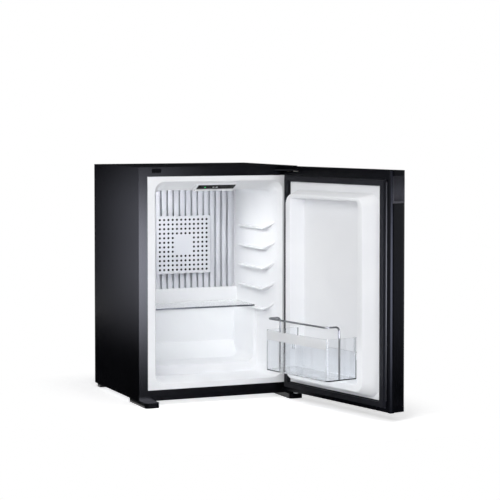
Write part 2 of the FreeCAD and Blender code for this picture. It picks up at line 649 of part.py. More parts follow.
def foot(name, left):
    sole = block(f"{name}_sole", (left, f"{left} + foot_width"), (depth("-foot_front"), depth("foot_back")),
                 ("0", base))
    toe = block(f"{name}_toe", (left, f"{left} + foot_width"), (depth("-foot_front"), depth("-seat_gap")),
                ("0", foot_top))
    whole = fuse(f"{name}_whole", sole, toe)
    return fillet(f"{name}_round", whole, "foot_radius", all_of(along(Z), at("y", depth("-foot_front"))))


def make_feet():
    left = f"(-{half} + foot_inset)"
    right = f"({half} - foot_inset - foot_width)"
    node(foot("left_foot", left), "front_foot_left")
    socket = cylinder("foot_socket", (pin_x, pin_y, f"{foot_top} - pin_sink"), "pin_radius + pin_play",
                      "2 * pin_sink")
    node(cut("right_foot", foot("right_foot_blank", right), socket), "hinge_foot_right")
    rear_start = f"({back} - rear_foot_inset - rear_foot_size)"
    pads = [block(f"rear_foot_{i}", (x, f"{x} + rear_foot_size"),
                  (rear_start, f"{rear_start} + rear_foot_size"),
                  ("0", base))
            for i, x in enumerate((f"(-{half} + rear_foot_inset)",
                                   f"({half} - rear_foot_inset - rear_foot_size)"))]
    node(group("rear_pads", *pads), "rear_feet")


def screw_shank(name, side, gap):
    return cylinder(name, (f"{pin_x} - leaf_width / 2 + ({side} - 0.5) * screw_pitch",
                           depth("-bracket_gauge"), level("screw_level")),
                    f"screw_radius + {gap}", "bracket_gauge + strip_face", "Y")


# Top hinge: an angle bracket screwed to the head strip, with an arm out to the pin.
def make_top_hinge():
    leaf_left = f"({pin_x} - leaf_width)"
    leaf = block("hinge_leaf", (leaf_left, f"{leaf_left} + leaf_width"), (depth("-bracket_gauge"), front),
                 (level("leaf_level"), level("leaf_level + leaf_height")))
    arm_outline = polygon("hinge_arm_outline", "XY", level("arm_level"), [
        (leaf_left, depth("-bracket_gauge / 2")),
        (f"{leaf_left} + leaf_width / 2", depth("-bracket_gauge / 2")),
        (f"{pin_x} + arm_radius * sin(arm_turn)", f"{pin_y} + arm_radius * cos(arm_turn)"),
        (f"{pin_x} - arm_radius * cos(arm_turn)", f"{pin_y} - arm_radius * sin(arm_turn)")])
    arm = extrude("hinge_arm", arm_outline, Z, "bracket_gauge")
    eye = cylinder("hinge_eye", (pin_x, pin_y, level("arm_level")), "arm_radius", "bracket_gauge")
    bore = cylinder("hinge_bore", (pin_x, pin_y, level("arm_level - 1")), "pin_radius + pin_play",
                    "bracket_gauge + 2")
    holes = [screw_shank(f"leaf_hole_{side}", side, "pin_play") for side in (0, 1)]
    node(cut("hinge_bracket", fuse("hinge_angle", leaf, arm, eye), bore, *holes), "top_hinge_bracket")
    node(cylinder("upper_pin", (pin_x, pin_y, f"{cap_low} - spigot_depth + 1"), "pin_radius",
                  f"{pin_top} - {cap_low} + spigot_depth - 1"), "top_hinge_pin")
    screws = []
    for side in (0, 1):
        head = cylinder(f"screw_head_{side}", (f"{pin_x} - leaf_width / 2 + ({side} - 0.5) * screw_pitch",
                                               depth("-bracket_gauge - screw_head"),
                                               level("screw_level")),
                        "screw_head_radius", "screw_head", "Y")
        screws.append(fuse(f"screw_{side}", head, screw_shank(f"screw_shank_{side}", side, "0")))
    node(group("screws", *screws), "hinge_screws")


def make_bottom_pin():
    collar_top = f"({door_low} - bush_flange - seat_gap)"
    shaft = cylinder("lower_shaft", (pin_x, pin_y, f"{foot_top} - pin_sink"), "pin_radius",
                     f"{door_low} + bottom_cap - 2 - {foot_top} + pin_sink")
    collar = cylinder("lower_collar", (pin_x, pin_y, foot_top), "collar_radius", f"{collar_top} - {foot_top}")
    node(fuse("lower_pin", shaft, collar), "bottom_hinge_pin")


# Everything on the door is drawn shut, then swung about the pins.
def swing(obj):
    obj.Placement = Placement(Vector(), Rotation(Z, 1))
    bind(obj, "Placement.Rotation.Angle", "open_angle")
    bind(obj, "Placement.Base.x", f"{pin_x} - {pin_x} * cos(open_angle) + {pin_y} * sin(open_angle)")
    bind(obj, "Placement.Base.y", f"{pin_y} - {pin_x} * sin(open_angle) - {pin_y} * cos(open_angle)")
    return obj


def door_node(obj, label):
    return node(swing(obj), label)


def door_prism(name, inset, low, high):
    plan = rounded(f"{name}_plan", "XY", low, f"-{half} + {inset}", f"{half} - {inset}",
                   f"{door_outer} + {inset}",
                   door_inner, f"door_radius - {inset}")
    return extrude(name, plan, Z, f"({high}) - ({low})")


panel_low = f"({door_low} + bottom_cap)"
frame_back = f"({door_inner} - inner_frame)"
grip_low = f"({cap_low} - grip_height)"
liner_half = f"({half} - door_liner_side)"
liner_low, liner_high = level("door_liner_low"), level("door_liner_high")


def grip_space(name, gap):
    return block(name, (f"-{half} - 1", f"-{half} + grip_block + {gap}"),
                 (f"{door_outer} + steel_gauge", f"{frame_back} + {gap} - seat_gap"),
                 (f"{grip_low} - grip_rim * 2 - {gap}", f"{cap_low} + 1"))


def spigot_space(name, gap):
    return block(name, (f"{half} - door_radius - spigot_width - {gap}", f"{half} - door_radius + {gap}"),
                 (f"{door_outer} + cap_skirt + deck_gauge - {gap}", f"{frame_back} - cap_skirt + {gap}"),
                 (f"{cap_low} - spigot_depth - {gap}", cap_low))


# Thin floor of the cap's pocket, which ties the spigot to the cap.
def deck_space(name, gap):
    return block(name, (f"{half} - cap_pocket - deck_gauge - {gap}", f"{half} - door_radius + {gap}"),
                 (f"{door_outer} + cap_skirt - deck_gauge - {gap}", f"{door_inner} - door_radius + {gap}"),
                 (f"{cap_low} - deck_gauge - {gap}", cap_low))


def make_door_shell():
    whole = door_prism("door_whole", "0", panel_low, cap_low)
    core = door_prism("door_core", "steel_gauge", panel_low, cap_low)
    inner_side = block("door_inner_side", both(f"{half} + 1"), (frame_back, f"{door_inner} + 1"), ("0", top))
    panel = cut("door_skin", whole, inner_side, core, grip_space("grip_notch", "seat_gap"))
    door_node(panel, "door_outer_panel")
    opening = block("door_opening", both(f"{liner_half} + seat_gap"),
                    (f"{frame_back} - 1", f"{door_inner} + 1"),
                    (f"{liner_low} - seat_gap", f"{liner_high} + seat_gap"))
    door_node(cut("door_surround", common("door_rim", whole, inner_side), opening), "door_inner_frame")
    circle = "((grip_reach ^ 2 + grip_height ^ 2) / (2 * grip_reach))"
    scoop_drum = cylinder("scoop_drum", (f"-{half} + grip_reach - {circle}",
                                         f"{door_outer} + steel_gauge + grip_rim", grip_low),
                          circle, "door_thickness - inner_frame - steel_gauge - 2 * grip_rim", "Y")
    scoop_band = block("scoop_band", (f"-{half} - 2 * grip_reach", f"{half}"), (door_outer, door_inner),
                       (grip_low, f"{cap_low} + 1"))
    insert = common("grip_insert", whole, grip_space("grip_room", "0"))
    door_node(cut("grip", insert, common("scoop", scoop_drum, scoop_band)), "door_grip")


# Pocket in the top cap that the hinge arm swings through, open to the inner and hinge sides.
def make_door_caps():
    cap = door_prism("top_cap_whole", "0", cap_low, door_high)
    pocket = block("cap_pocket_space", (f"{half} - cap_pocket", f"{half} + 1"),
                   (f"{door_outer} + cap_skirt", f"{door_inner} + 1"),
                   (f"{cap_low} - 1", f"{door_high} - cap_lid"))
    hollow = cylinder("cap_bush_seat", (pin_x, pin_y, f"{cap_low} - spigot_depth - 1"),
                      "pin_radius + pin_play + bush_wall", "spigot_depth + 2")
    joined = fuse("top_cap_joined", cut("top_cap_shell", cap, pocket), spigot_space("cap_spigot", "0"),
                  deck_space("cap_deck", "0"))
    door_node(cut("top_cap_body", joined, hollow), "door_top_cap")
    low_cap = door_prism("bottom_cap_whole", "0", door_low, panel_low)
    seat = cylinder("low_bush_seat", (pin_x, pin_y, f"{door_low} - 1"), "pin_radius + pin_play + bush_wall",
                    "bottom_cap + 2")
    nub = block("door_nub", (f"-{half} + door_radius", f"-{half} + door_radius + nub_size"),
                (f"{door_inner} - door_radius - nub_size", f"{door_inner} - door_radius"),
                (f"{door_low} - nub_height", f"{door_low} + 1"))
    door_node(cut("bottom_cap_body", fuse("bottom_cap_joined", low_cap, nub), seat), "door_bottom_cap")


# Flanged plastic bush round each pin.
def bush(name, low, high, flange_low, flange_high):
    bore_radius = "pin_radius + pin_play"
    sleeve = cylinder(f"{name}_sleeve", (pin_x, pin_y, low), f"{bore_radius} + bush_wall",
                      f"({high}) - ({low})")
    flange = cylinder(f"{name}_flange", (pin_x, pin_y, flange_low), "bush_flange_radius",
                      f"({flange_high}) - ({flange_low})")
    bore = cylinder(f"{name}_bore", (pin_x, pin_y, f"{low} - 5"), bore_radius, f"({high}) - ({low}) + 10")
    return cut(name, fuse(f"{name}_solid", sleeve, flange), bore)


def make_bushes():
    door_node(bush("upper_bush", f"{cap_low} - spigot_depth", f"{cap_low} + bush_flange", cap_low,
                   f"{cap_low} + bush_flange"), "top_hinge_bush")
    door_node(bush("lower_bush", f"{door_low} - bush_flange", f"{panel_low} - seat_gap",
                   f"{door_low} - bush_flange", door_low), "bottom_hinge_bush")


# Raised rim of the door liner: a ring with sloping sides, shrunk by the expression given.
def door_rim(name, shrink):
    outer = f"({liner_half} - dyke_base - {shrink})"
    crest = f"({outer} - dyke_slope)"
    inner = f"({liner_half} - rim_width + {shrink})"
    foot_inner = f"({inner} - dyke_inner)"
    low, high = f"({liner_low} + dyke_low_base + {shrink})", f"({liner_high} - dyke_top_base - {shrink})"
    crest_low, crest_high = f"({low} + dyke_low_slope)", f"({high} - dyke_top_slope)"
    hollow_low = f"({crest_low} + dyke_low_crest - 2 * {shrink})"
    hollow_high = f"({crest_high} - dyke_top_crest + 2 * {shrink})"
    foot_y = f"({door_inner} - {shrink})"
    crest_y = f"({door_inner} + dyke_height - {shrink})"
    body = loft(f"{name}_mound",
                rounded(f"{name}_foot", "XZ", foot_y, f"-{outer}", outer, low, high, "dyke_radius"),
                rounded(f"{name}_crest", "XZ", crest_y, f"-{crest}", crest, crest_low, crest_high,
                        "dyke_radius"))
    well = loft(f"{name}_well",
                rounded(f"{name}_well_foot", "XZ", foot_y, f"-{foot_inner}", foot_inner,
                        f"{hollow_low} + dyke_inner", f"{hollow_high} - dyke_top_inner", "well_radius"),
                rounded(f"{name}_well_top", "XZ", crest_y, f"-{inner}", inner, hollow_low, hollow_high,
                        "well_radius"))
    return cut(f"{name}_ring", body, well)


def make_door_liner():
    crest = at("y", f"{door_inner} + dyke_height")
    mound = fillet("dyke", door_rim("dyke_outer", "0"), "dyke_round", crest)
    plate = block("door_liner_plate", both(liner_half), (f"{door_inner} - door_liner_wall", door_inner),
                  (liner_low, liner_high))
    space = door_rim("dyke_inner", "door_liner_wall")
    lugs = [rack_lug(f"rack_lug_{i}", side) for i, side in enumerate((-1, 1))]
    lugs_kept = common("lugs_kept", fuse("lugs", *lugs), fuse("lug_limit", mound, lug_room()))
    blank = fuse("door_liner_blank", plate, mound, lugs_kept)
    door_node(cut("door_liner_body", blank, space), "door_liner")


# Lugs on the rim's inner walls carry the rack's hooks.
rack_half = "(rack_width / 2)"
lug_low = level("rack_level + lug_level")
lug_back = f"({door_inner} + rack_back - lug_length + rack_wall)"


def rack_lug(name, side):
    near, far = f"{rack_half} + lug_gap", f"{liner_half} - rim_width + dyke_crest / 2"
    span = (near, far) if side > 0 else (f"-({far})", f"-({near})")
    return block(name, span, (lug_back, f"{lug_back} + lug_length"), (lug_low, f"{lug_low} + lug_height"))


def lug_room():
    return block("lug_room", both(f"{liner_half} - rim_width + 2 * door_liner_wall"),
                 (door_inner, f"{door_inner} + dyke_height"), (lug_low, f"{lug_low} + lug_height"))


def make_door_insulation():
    core = door_prism("door_foam_core", "(steel_gauge + seat_gap)", f"{panel_low} + seat_gap",
                      f"{cap_low} - seat_gap")
    beyond = block("door_foam_limit", both(f"{half} + 1"), (f"{frame_back} - seat_gap", f"{door_inner} + 1"),
                   ("0", top))
    slab = cut("door_foam_slab", core, beyond, grip_space("grip_foam", "2 * seat_gap"),
               spigot_space("spigot_foam", "seat_gap"), deck_space("deck_foam", "seat_gap"))
    fill = block("door_foam_fill", both(f"{liner_half} - seat_gap"),
                 (f"{frame_back} - 1", f"{door_inner} - door_liner_wall - seat_gap"),
                 (f"{liner_low} + seat_gap", f"{liner_high} - seat_gap"))
    ridge = door_rim("door_foam_rim", "(door_liner_wall + seat_gap)")
    door_node(fuse("door_foam", slab, fill, ridge), "door_insulation")


def make_gasket():
    def ring(name, inset, near, far):
        outer = block(f"{name}_outer", both(f"{liner_half} + gasket_width - {inset}"), (near, far),
                      (f"{liner_low} - gasket_head + {inset}", f"{liner_high} + gasket_head - {inset}"))
        inner = block(f"{name}_inner", both(f"{liner_half} + seat_gap + {inset}"),
                      (f"{near} - 1", f"{far} + 1"),
                      (f"{liner_low} - seat_gap - {inset}", f"{liner_high} + seat_gap + {inset}"))
        return cut(name, outer, inner)
    base_top = f"({door_inner} + gasket_base)"
    strip = ring("gasket_strip", "0", door_inner, base_top)
    bulb = ring("gasket_bulb", "gasket_lip", f"{base_top} - 1", f"{front} - gasket_clear")
    door_node(fuse("gasket", strip, bulb), "door_gasket")


def make_rack():
    back_y, front_y = f"({door_inner} + rack_back)", f"({door_inner} + rack_front)"
    low, high = level("rack_level"), level("rack_level + rack_height")
    outer = block("rack_outer", both(rack_half), (back_y, front_y), (low, high))
    outer = fillet("rack_outer_round", outer, "rack_radius", along(Z))
    inner = block("rack_inner", both(f"{rack_half} - rack_wall"),
                  (f"{back_y} + rack_wall", f"{front_y} - rack_wall"),
                  (f"{low} + rack_wall", f"{high} + 1"))
    inner = fillet("rack_inner_round", inner, "rack_radius - rack_wall", along(Z))
    dip = block("rack_dip", both(f"{rack_half} - 2 * rack_radius"),
                (f"{back_y} - 1", f"{back_y} + 2 * rack_wall"),
                (f"{low} + rack_back_height", f"{high} + 1"))
    tray = cut("rack_shell", outer, inner, dip)
    hooks = []
    for i, side in enumerate((-1, 1)):
        span = (f"{rack_half} - rack_wall", f"{rack_half} + hook_width")
        tip = (f"{rack_half} - rack_wall / 2", f"{rack_half} + hook_width")
        spans = [s if side > 0 else (f"-({s[1]})", f"-({s[0]})") for s in (span, tip)]
        above = f"({lug_low} + lug_height + lug_gap)"
        ahead = f"({lug_back} + lug_length + lug_gap)"
        hooks.append(block(f"hook_cap_{i}", spans[0], (f"{back_y}", f"{ahead} + rack_wall"),
                           (above, f"{above} + hook_height")))
        hooks.append(block(f"hook_lip_{i}", spans[1], (ahead, f"{ahead} + rack_wall"),
                           (lug_low, f"{above} + hook_height")))
    door_node(fuse("rack", tray, *hooks), "rack_tray")
    leg_x = f"({rack_half} - rack_wall - rail_radius - pin_play)"
    rail_y = f"({front_y} - rail_radius)"
    leg_y = f"({rail_y} - guard_return)"
    foot_z, crown = f"({low} + rack_wall)", level("rack_level + rail_crown")
    path = [(f"-{leg_x}", leg_y, foot_z), (f"-{leg_x}", leg_y, crown), (f"-{leg_x}", rail_y, crown),
            (leg_x, rail_y, crown), (leg_x, leg_y, crown), (leg_x, leg_y, foot_z)]
    door_node(tube("guard_rail", path, "rail_radius", "guard_bend"), "rack_guard_rail")


# Absorption cooling unit, hung on the rear panel.
unit_y = f"({rear_out} + unit_offset)"
boiler_left = f"({half} - boiler_side - boiler_width)"
boiler_middle = f"({boiler_left} + boiler_width / 2)"
vessel_left = f"(-{half} + vessel_inset)"


def channel(name, left, width, reach, low):
    bar = block(f"{name}_bar", (left, f"{left} + {width}"), (rear_out, f"{rear_out} + {reach}"),
                (low, f"{low} + bracket_height"))
    hollow = block(f"{name}_hollow", (f"{left} + bracket_sheet", f"{left} + {width} - bracket_sheet"),
                   (rear_out, f"{rear_out} + {reach} - bracket_sheet"),
                   (f"{low} - 1", f"{low} + bracket_height + 1"))
    return cut(name, bar, hollow)


def make_cooling_unit():
    boiler_front = f"({rear_out} + bracket_depth)"
    case = block("boiler_block", (boiler_left, f"{boiler_left} + boiler_width"),
                 (boiler_front, f"2 * {unit_y} - {boiler_front}"),
                 (level("boiler_level"), level("boiler_level + boiler_height")))
    node(fillet("boiler", case, "boiler_radius", along(Z)), "boiler_case")
    vessel = cylinder("vessel_body", (vessel_left, unit_y, level("vessel_level")), "vessel_radius",
                      "vessel_length", "X")
    node(fillet("vessel", vessel, "vessel_round", lambda edge: len(edge.Vertexes) == 1), "absorber_vessel")
    bracket_left = f"({boiler_middle} - bracket_width / 2)"
    straps = [channel(f"boiler_channel_{i}", bracket_left, "bracket_width", "bracket_depth",
                      level(f"boiler_level + {share} * boiler_height - bracket_height / 2"))
              for i, share in enumerate(("0.15", "0.85"))]
    saddles = [channel(f"vessel_channel_{i}", f"({vessel_left} + {share} * vessel_length)", "bracket_height",
                       "unit_offset - vessel_radius", level("vessel_level - bracket_height / 2"))
               for i, share in enumerate(("0.2", "0.7"))]
    node(group("brackets", *straps, *saddles), "unit_brackets")

    left, right = f"(-{half} + coil_inset)", f"(-{half} + coil_inset + coil_length)"
    first = "vessel_level + vessel_radius + coil_pitch"
    path = [(left, unit_y, level("vessel_level + vessel_radius"))]
    for run in range(int(number("coil_runs"))):
        height = level(f"{first} + {run} * coil_pitch")
        ends = (left, right) if run % 2 == 0 else (right, left)
        path += [(end, unit_y, height) for end in ends]
    last = path[-1]
    path += [(last[0], rear_out, last[2])]
    node(tube("coil", path, "tube_radius", "tube_bend"), "absorber_coil")
    run_level = level("condenser_level")
    far_x = f"(-{half} + condenser_end)"
    node(tube("condenser", [(boiler_middle, unit_y, level("boiler_level + boiler_height")),
                            (boiler_middle, unit_y, run_level), (far_x, unit_y, run_level),
                            (far_x, rear_out, run_level)], "tube_radius", "tube_bend"), "condenser_tube")
    fins = []
    for i in range(int(number("fin_count"))):
        x = f"({far_x} + 4 * tube_radius + {i} * condenser_pitch)"
        plate = block(f"condenser_plate_{i}", (x, f"{x} + fin_gauge"),
                      (f"{unit_y} - fin_size / 2", f"{unit_y} + fin_size / 2"),
                      (f"{run_level} - fin_size / 2", f"{run_level} + fin_size / 2"))
        bore = cylinder(f"condenser_bore_{i}", (f"{x} - 1", unit_y, run_level), "tube_radius + pin_play",
                        "fin_gauge + 2", "X")
        fins.append(cut(f"condenser_fin_{i}", plate, bore))
    node(group("fins", *fins), "condenser_fins")


# Electronics box with a recessed mains inlet, and the tray that catches melt water.
def make_rear_fittings():
    box_left = f"({half} - box_inset - box_width)"
    box_back = f"({rear_out} + box_depth)"
    housing = block("electronics_block", (box_left, f"{box_left} + box_width"), (rear_out, box_back),
                    (level("box_level"), level("box_level + box_height")))
    housing = fillet("electronics_round", housing, "box_round", at("y", box_back))
    middle_x, middle_z = f"({box_left} + box_width / 2)", level("box_level + box_height / 2")

    def inlet_block(name, grow, near, far):
        return block(name, (f"{middle_x} - inlet_width / 2 - {grow}",
                            f"{middle_x} + inlet_width / 2 + {grow}"),
                     (near, far), (f"{middle_z} - inlet_height / 2 - {grow}",
                                   f"{middle_z} + inlet_height / 2 + {grow}"))
    seat_depth = f"({box_back} - inlet_depth - tray_wall)"
    seat = inlet_block("inlet_seat", "(tray_wall + seat_gap)", f"{seat_depth} - seat_gap", f"{box_back} + 1")
    node(cut("electronics", housing, seat), "electronics_box")
    cup = inlet_block("inlet_cup", "tray_wall", seat_depth, f"{box_back} + inlet_plate")
    flange = inlet_block("inlet_rim", "inlet_flange", box_back, f"{box_back} + inlet_plate")
    flange = fillet("inlet_rim_round", flange, "inlet_flange / 2", along(Y))
    recess = inlet_block("inlet_recess", "0", f"{box_back} - inlet_depth", f"{box_back} + inlet_plate + 1")
    blades = [block(f"inlet_blade_{i}", (f"{middle_x} + {i} * blade_pitch - blade_width / 2",
                                         f"{middle_x} + {i} * blade_pitch + blade_width / 2"),
                    (f"{box_back} - inlet_depth - tray_wall / 2", f"{box_back} - inlet_depth + blade_length"),
                    (f"{middle_z} + (abs({i}) - 0.5) * blade_height - blade_height / 2",
                     f"{middle_z} + (abs({i}) - 0.5) * blade_height + blade_height / 2"))
              for i in (-1, 0, 1)]
    node(fuse("inlet", cut("inlet_shell", fuse("inlet_body", cup, flange), recess), *blades), "mains_inlet")

    tray_left = f"(-{half} + tray_inset)"
    outer = block("drip_outer", (tray_left, f"{tray_left} + tray_width"),
                  (rear_out, f"{rear_out} + tray_depth"),
                  (level("tray_level"), level("tray_level + tray_height")))
    inner = block("drip_inner", (f"{tray_left} + tray_wall", f"{tray_left} + tray_width - tray_wall"),
                  (f"{rear_out} + tray_wall", f"{rear_out} + tray_depth - tray_wall"),
                  (level("tray_level + tray_wall"), level("tray_level + tray_height + 1")))
    node(cut("drip", outer, inner), "drip_tray")
    spout_x = f"({tray_left} + tray_width / 2)"
    node(tube("spout", [(spout_x, rear_out, level("spout_level")),
                        (spout_x, f"{rear_out} + spout_reach", level("spout_level")),
                        (spout_x, f"{rear_out} + spout_reach", level("spout_level - spout_drop"))],
              "spout_radius", "spout_radius * 2"), "drain_spout")


for make in (make_shell, make_front_frame, make_liner, make_insulation, make_shelf, make_cold_plate,
             make_fin_cover,
             make_controls, make_feet, make_top_hinge, make_bottom_pin, make_door_shell, make_door_caps,
             make_bushes,
             make_door_liner, make_door_insulation, make_gasket, make_rack, make_cooling_unit,
             make_rear_fittings):
    make()
doc.recompute()

for obj in doc.Objects:
    if "Invalid" in obj.State or "Error" in obj.State:
        raise RuntimeError(f"{obj.Name} failed: {obj.State}")
for obj in nodes:
    if obj.Shape.isNull() or not obj.Shape.isValid():
        raise RuntimeError(f"{obj.Label} has no valid shape")

os.makedirs("parts", exist_ok=True)
for obj in nodes:
    obj.Shape.exportStep(f"parts/{obj.Label}.step")
    print(f"{obj.Label}: {len(obj.Shape.Solids)} solids, {obj.Shape.Volume / 1000:.1f} cm3")
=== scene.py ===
import bpy, json, math
from mathutils import Matrix, Vector


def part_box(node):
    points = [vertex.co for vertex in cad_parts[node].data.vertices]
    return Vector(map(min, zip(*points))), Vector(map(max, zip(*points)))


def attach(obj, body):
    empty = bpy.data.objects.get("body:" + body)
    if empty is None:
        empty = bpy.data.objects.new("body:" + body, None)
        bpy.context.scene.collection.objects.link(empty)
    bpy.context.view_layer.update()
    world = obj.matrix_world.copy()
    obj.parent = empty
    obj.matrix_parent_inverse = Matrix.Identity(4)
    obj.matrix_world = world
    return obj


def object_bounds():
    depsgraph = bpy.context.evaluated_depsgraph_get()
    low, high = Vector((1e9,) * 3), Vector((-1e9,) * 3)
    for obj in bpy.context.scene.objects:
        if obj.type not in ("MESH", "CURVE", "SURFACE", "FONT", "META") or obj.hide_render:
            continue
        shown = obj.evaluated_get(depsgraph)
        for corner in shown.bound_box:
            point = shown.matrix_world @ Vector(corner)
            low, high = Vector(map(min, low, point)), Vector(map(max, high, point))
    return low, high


# Minibar fridge with its door open: finishes for every CAD node, the small trim, stage, lights and camera.
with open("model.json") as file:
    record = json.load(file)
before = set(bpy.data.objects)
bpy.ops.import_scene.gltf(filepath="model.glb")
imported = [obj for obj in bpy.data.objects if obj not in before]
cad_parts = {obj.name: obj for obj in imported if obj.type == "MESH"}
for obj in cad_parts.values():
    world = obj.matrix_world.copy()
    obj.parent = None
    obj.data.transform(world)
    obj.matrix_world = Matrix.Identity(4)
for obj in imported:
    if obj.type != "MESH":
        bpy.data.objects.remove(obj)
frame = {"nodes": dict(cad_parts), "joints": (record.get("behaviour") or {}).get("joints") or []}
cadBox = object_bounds()
nodes = frame["nodes"]
bpy.ops.object.select_all(action="DESELECT")
print("frame loaded:", len(nodes), "nodes")

# the open door's own frame: pieces on it are modelled as if it were shut, then swung
hinge = next(joint for joint in frame["joints"] if joint["name"] == "door_hinge")
hingePoint = Vector(hinge["pos_m"])
openTurn = -math.radians(hinge["range_deg"][0])
swing = Matrix.Translation(hingePoint) @ Matrix.Rotation(openTurn, 4, "Z") @ Matrix.Translation(-hingePoint)


# node helpers: what goes in is another node's output, or else a plain number, vector or colour

def feed(tree, socket, value):
    if isinstance(value, bpy.types.NodeSocket):
        tree.links.new(value, socket)
    elif socket.type == "RGBA":
        socket.default_value = (*value, 1)
    else:
        socket.default_value = value


def mathNode(tree, operation, first, second):
    node = tree.nodes.new("ShaderNodeMath")
    node.operation = operation
    feed(tree, node.inputs[0], first)
    feed(tree, node.inputs[1], second)
    return node.outputs["Value"]


def vectorNode(tree, operation, first, second=None, result="Vector"):
    node = tree.nodes.new("ShaderNodeVectorMath")
    node.operation = operation
    feed(tree, node.inputs[0], first)
    if second is not None:
        feed(tree, node.inputs[1], second)
    return node.outputs[result]


def rampNode(tree, value, start=(0, 1), end=(0, 1), smooth=False):
    node = tree.nodes.new("ShaderNodeMapRange")
    if smooth:
        node.interpolation_type = "SMOOTHSTEP"
    feed(tree, node.inputs["Value"], value)
    node.inputs["From Min"].default_value, node.inputs["From Max"].default_value = start
    node.inputs["To Min"].default_value, node.inputs["To Max"].default_value = end
    return node.outputs["Result"]


def colourMix(tree, factor, first, second):
    node = tree.nodes.new("ShaderNodeMix")
    node.data_type = "RGBA"
    feed(tree, node.inputs["Factor"], factor)
    feed(tree, node.inputs["A"], first)
    feed(tree, node.inputs["B"], second)
    return node.outputs["Result"]


def mixShaders(tree, share, first, second):
    mix = tree.nodes.new("ShaderNodeMixShader")
    tree.links.new(share, mix.inputs[0])
    tree.links.new(first.outputs[0], mix.inputs[1])
    tree.links.new(second.outputs[0], mix.inputs[2])
    tree.links.new(mix.outputs[0], tree.nodes["Material Output"].inputs["Surface"])


def ownPlace(tree):
    return tree.nodes.new("ShaderNodeTexCoord").outputs["Object"]


def axesOf(tree, vector):
    parts = tree.nodes.new("ShaderNodeSeparateXYZ")
    tree.links.new(vector, parts.inputs[0])
    return parts.outputs


# node groups that several finishes share
mouldGrain = {"scale": 900.0, "detail": 4.0, "roughness": 0.55, "fleck": (0.35, 0.65)}
handlingHaze = {"scale": 9.0, "detail": 2.0, "distortion": 0.6, "mask": (0.3, 0.72)}


def startGroup(name, values, results):
    group = bpy.data.node_groups.new(name, "ShaderNodeTree")
    scale = group.interface.new_socket("Scale", in_out="INPUT", socket_type="NodeSocketFloat")
    scale.default_value = values["scale"]
    for result in results:
        group.interface.new_socket(result, in_out="OUTPUT", socket_type="NodeSocketFloat")
    into = group.nodes.new("NodeGroupInput")
    out = group.nodes.new("NodeGroupOutput")
    noise = group.nodes.new("ShaderNodeTexNoise")
    noise.inputs["Detail"].default_value = values["detail"]
    group.links.new(ownPlace(group), noise.inputs["Vector"])
    group.links.new(into.outputs["Scale"], noise.inputs["Scale"])
    return group, noise, out


# fine grain of a mould or a paint: a height for bump and a fleck for gloss
def buildGrain():
    group, noise, out = startGroup("mouldGrain", mouldGrain, ("Height", "Fleck"))
    noise.inputs["Roughness"].default_value = mouldGrain["roughness"]
    fleck = rampNode(group, noise.outputs["Fac"], mouldGrain["fleck"])
    group.links.new(noise.outputs["Fac"], out.inputs["Height"])
    group.links.new(fleck, out.inputs["Fleck"])
    return group


# broad soft patches, as handling and moulding leave on a large panel
def buildHaze():
    group, noise, out = startGroup("handlingHaze", handlingHaze, ("Mask",))
    noise.inputs["Distortion"].default_value = handlingHaze["distortion"]
    mask = rampNode(group, noise.outputs["Fac"], handlingHaze["mask"], smooth=True)
    group.links.new(mask, out.inputs["Mask"])
    return group


grainGroup = buildGrain()
hazeGroup = buildHaze()


# what the finishes are built from

def newFinish(name):
    finish = bpy.data.materials.new(name)
    finish.use_nodes = True
    return finish, finish.node_tree, finish.node_tree.nodes["Principled BSDF"]


def placeGroup(tree, group, scale):
    node = tree.nodes.new("ShaderNodeGroup")
    node.node_tree = group
    node.inputs["Scale"].default_value = scale
    return node.outputs


def addBump(tree, bsdf, height, values):
    bump = tree.nodes.new("ShaderNodeBump")
    bump.inputs["Strength"].default_value = values["bump"]
    bump.inputs["Distance"].default_value = values["bumpDepth"]
    tree.links.new(height, bump.inputs["Height"])
    tree.links.new(bump.outputs["Normal"], bsdf.inputs["Normal"])


# what is the same all over a finish, with the shader's own socket for it
plainSockets = {"ior": "IOR", "sheen": "Specular Tint", "metallic": "Metallic", "alpha": "Alpha",
                "glow": "Emission Color", "strength": "Emission Strength", "clear": "Transmission Weight"}


def setPlain(tree, bsdf, values):
    for key, socket in plainSockets.items():
        if key in values:
            feed(tree, bsdf.inputs[socket], values[key])


# a finish whose colour, roughness and bump vary over the surface by the two groups
def variedFinish(name, values):
    finish, tree, bsdf = newFinish(name)
    haze = placeGroup(tree, hazeGroup, values["hazeScale"])
    grain = placeGroup(tree, grainGroup, values["grainScale"])
    feed(tree, bsdf.inputs["Base Color"], colourMix(tree, haze["Mask"], values["colour"], values["tint"]))
    feed(tree, bsdf.inputs["Roughness"], rampNode(tree, grain["Fleck"], end=values["roughness"]))
    addBump(tree, bsdf, grain["Height"], values)
    setPlain(tree, bsdf, values)
    return finish


# a clear finish with faint smears: its roughness wanders over the surface
def clearFinish(name, values):
    finish, tree, bsdf = newFinish(name)
    haze = placeGroup(tree, hazeGroup, values["hazeScale"])
    feed(tree, bsdf.inputs["Base Color"], values["colour"])
    feed(tree, bsdf.inputs["Roughness"], rampNode(tree, haze["Mask"], end=values["roughness"]))
    setPlain(tree, bsdf, values)
    passLight(tree, bsdf, values["shade"])
    return finish


# lamps shine through a clear wall: it casts only a faint shadow of its own tint
def passLight(tree, bsdf, shade):
    through = tree.nodes.new("ShaderNodeBsdfTransparent")
    feed(tree, through.inputs["Color"], shade)
    path = tree.nodes.new("ShaderNodeLightPath")
    mixShaders(tree, path.outputs["Is Shadow Ray"], bsdf, through)


# a second colour over the paint, where the mask is one; both uses below paint shade
def overPaint(finish, mask, colour):
    tree = finish.node_tree
    base = tree.nodes["Principled BSDF"].inputs["Base Color"]
    paint = base.links[0].from_socket
    feed(tree, base, colourMix(tree, mask, paint, colour))


# the cabinet's shell and the door mirror a little bluer than the light that falls on them
coolSheen = (0.84, 0.88, 1.0)

